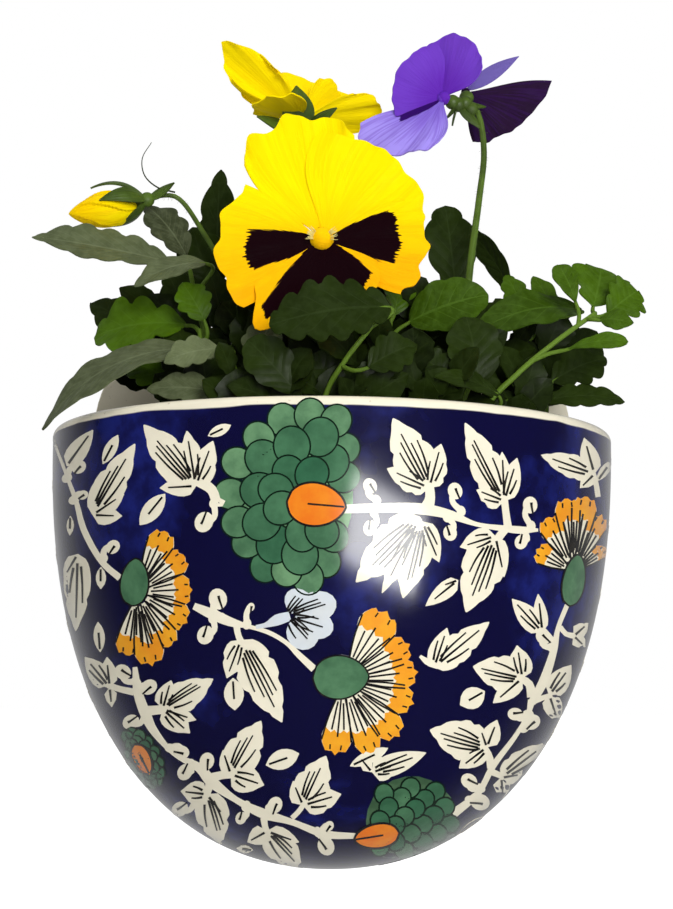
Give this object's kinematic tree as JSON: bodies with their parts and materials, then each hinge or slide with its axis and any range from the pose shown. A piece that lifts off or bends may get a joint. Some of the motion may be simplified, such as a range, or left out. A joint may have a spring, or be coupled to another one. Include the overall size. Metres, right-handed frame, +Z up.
{
  "type": "potted pansy wall planter",
  "caption": "Half-round glazed wall planter with a flat back, filled with soil and planted with yellow and violet pansies among toothed green leaves.",
  "frame": {"origin": "centre of the flat back, halfway between the rim and the bottom of the bowl, on the wall's surface", "axes": "+Z up; +Y points into the wall, out of the flat back; -Y towards the viewer, so that +X is to the viewer's right"},
  "size_m": [0.2044, 0.1, 0.2891],
  "materials": {
    "glazed_blue": "glossy glaze over hand painting",
    "soil": "crumbly and matte",
    "leaf": "soft satin with sunken veins",
    "leaf_dark": "soft satin with sunken veins",
    "leaf_grey": "dull satin with parallel veins",
    "stem": "soft satin",
    "petal_yellow": "velvety",
    "petal_violet": "velvety",
    "petal_lavender": "velvety",
    "petal_plum": "velvety"
  },
  "bodies": {
    "root": {"planter_body": "glazed_blue", "potting_soil": "soil", "leafy_stem_left_top": "leaf_grey", "leafy_stem_left_upright": "leaf_dark", "leafy_stem_left_bright": "leaf", "leafy_stem_left_drooping": "leaf_grey", "leafy_stem_centre_dark": "leaf_dark", "leafy_stem_centre_round": "leaf_dark", "leafy_stem_centre_sprig": "leaf", "leafy_stem_right_upright": "leaf_dark", "leafy_stem_right_arched": "leaf", "leafy_stem_right_fan": "leaf", "leafy_stem_right_low": "leaf_dark", "leafy_stem_right_front": "leaf_dark", "leafy_stem_rear_left": "leaf_dark", "leafy_stem_rear_centre": "leaf_dark", "leafy_stem_rear_right": "leaf_dark", "bloom_front_stem": "stem", "bloom_front_petals": "petal_yellow", "bloom_back_stem": "stem", "bloom_back_petals": "petal_yellow", "bloom_violet_stem": "stem", "bloom_violet_petals": "petal_violet", "bloom_violet_lip": "petal_lavender", "bloom_violet_upper": "petal_plum", "bud_stem": "stem", "bud_petals": "petal_yellow"}
  },
  "joints": []
}
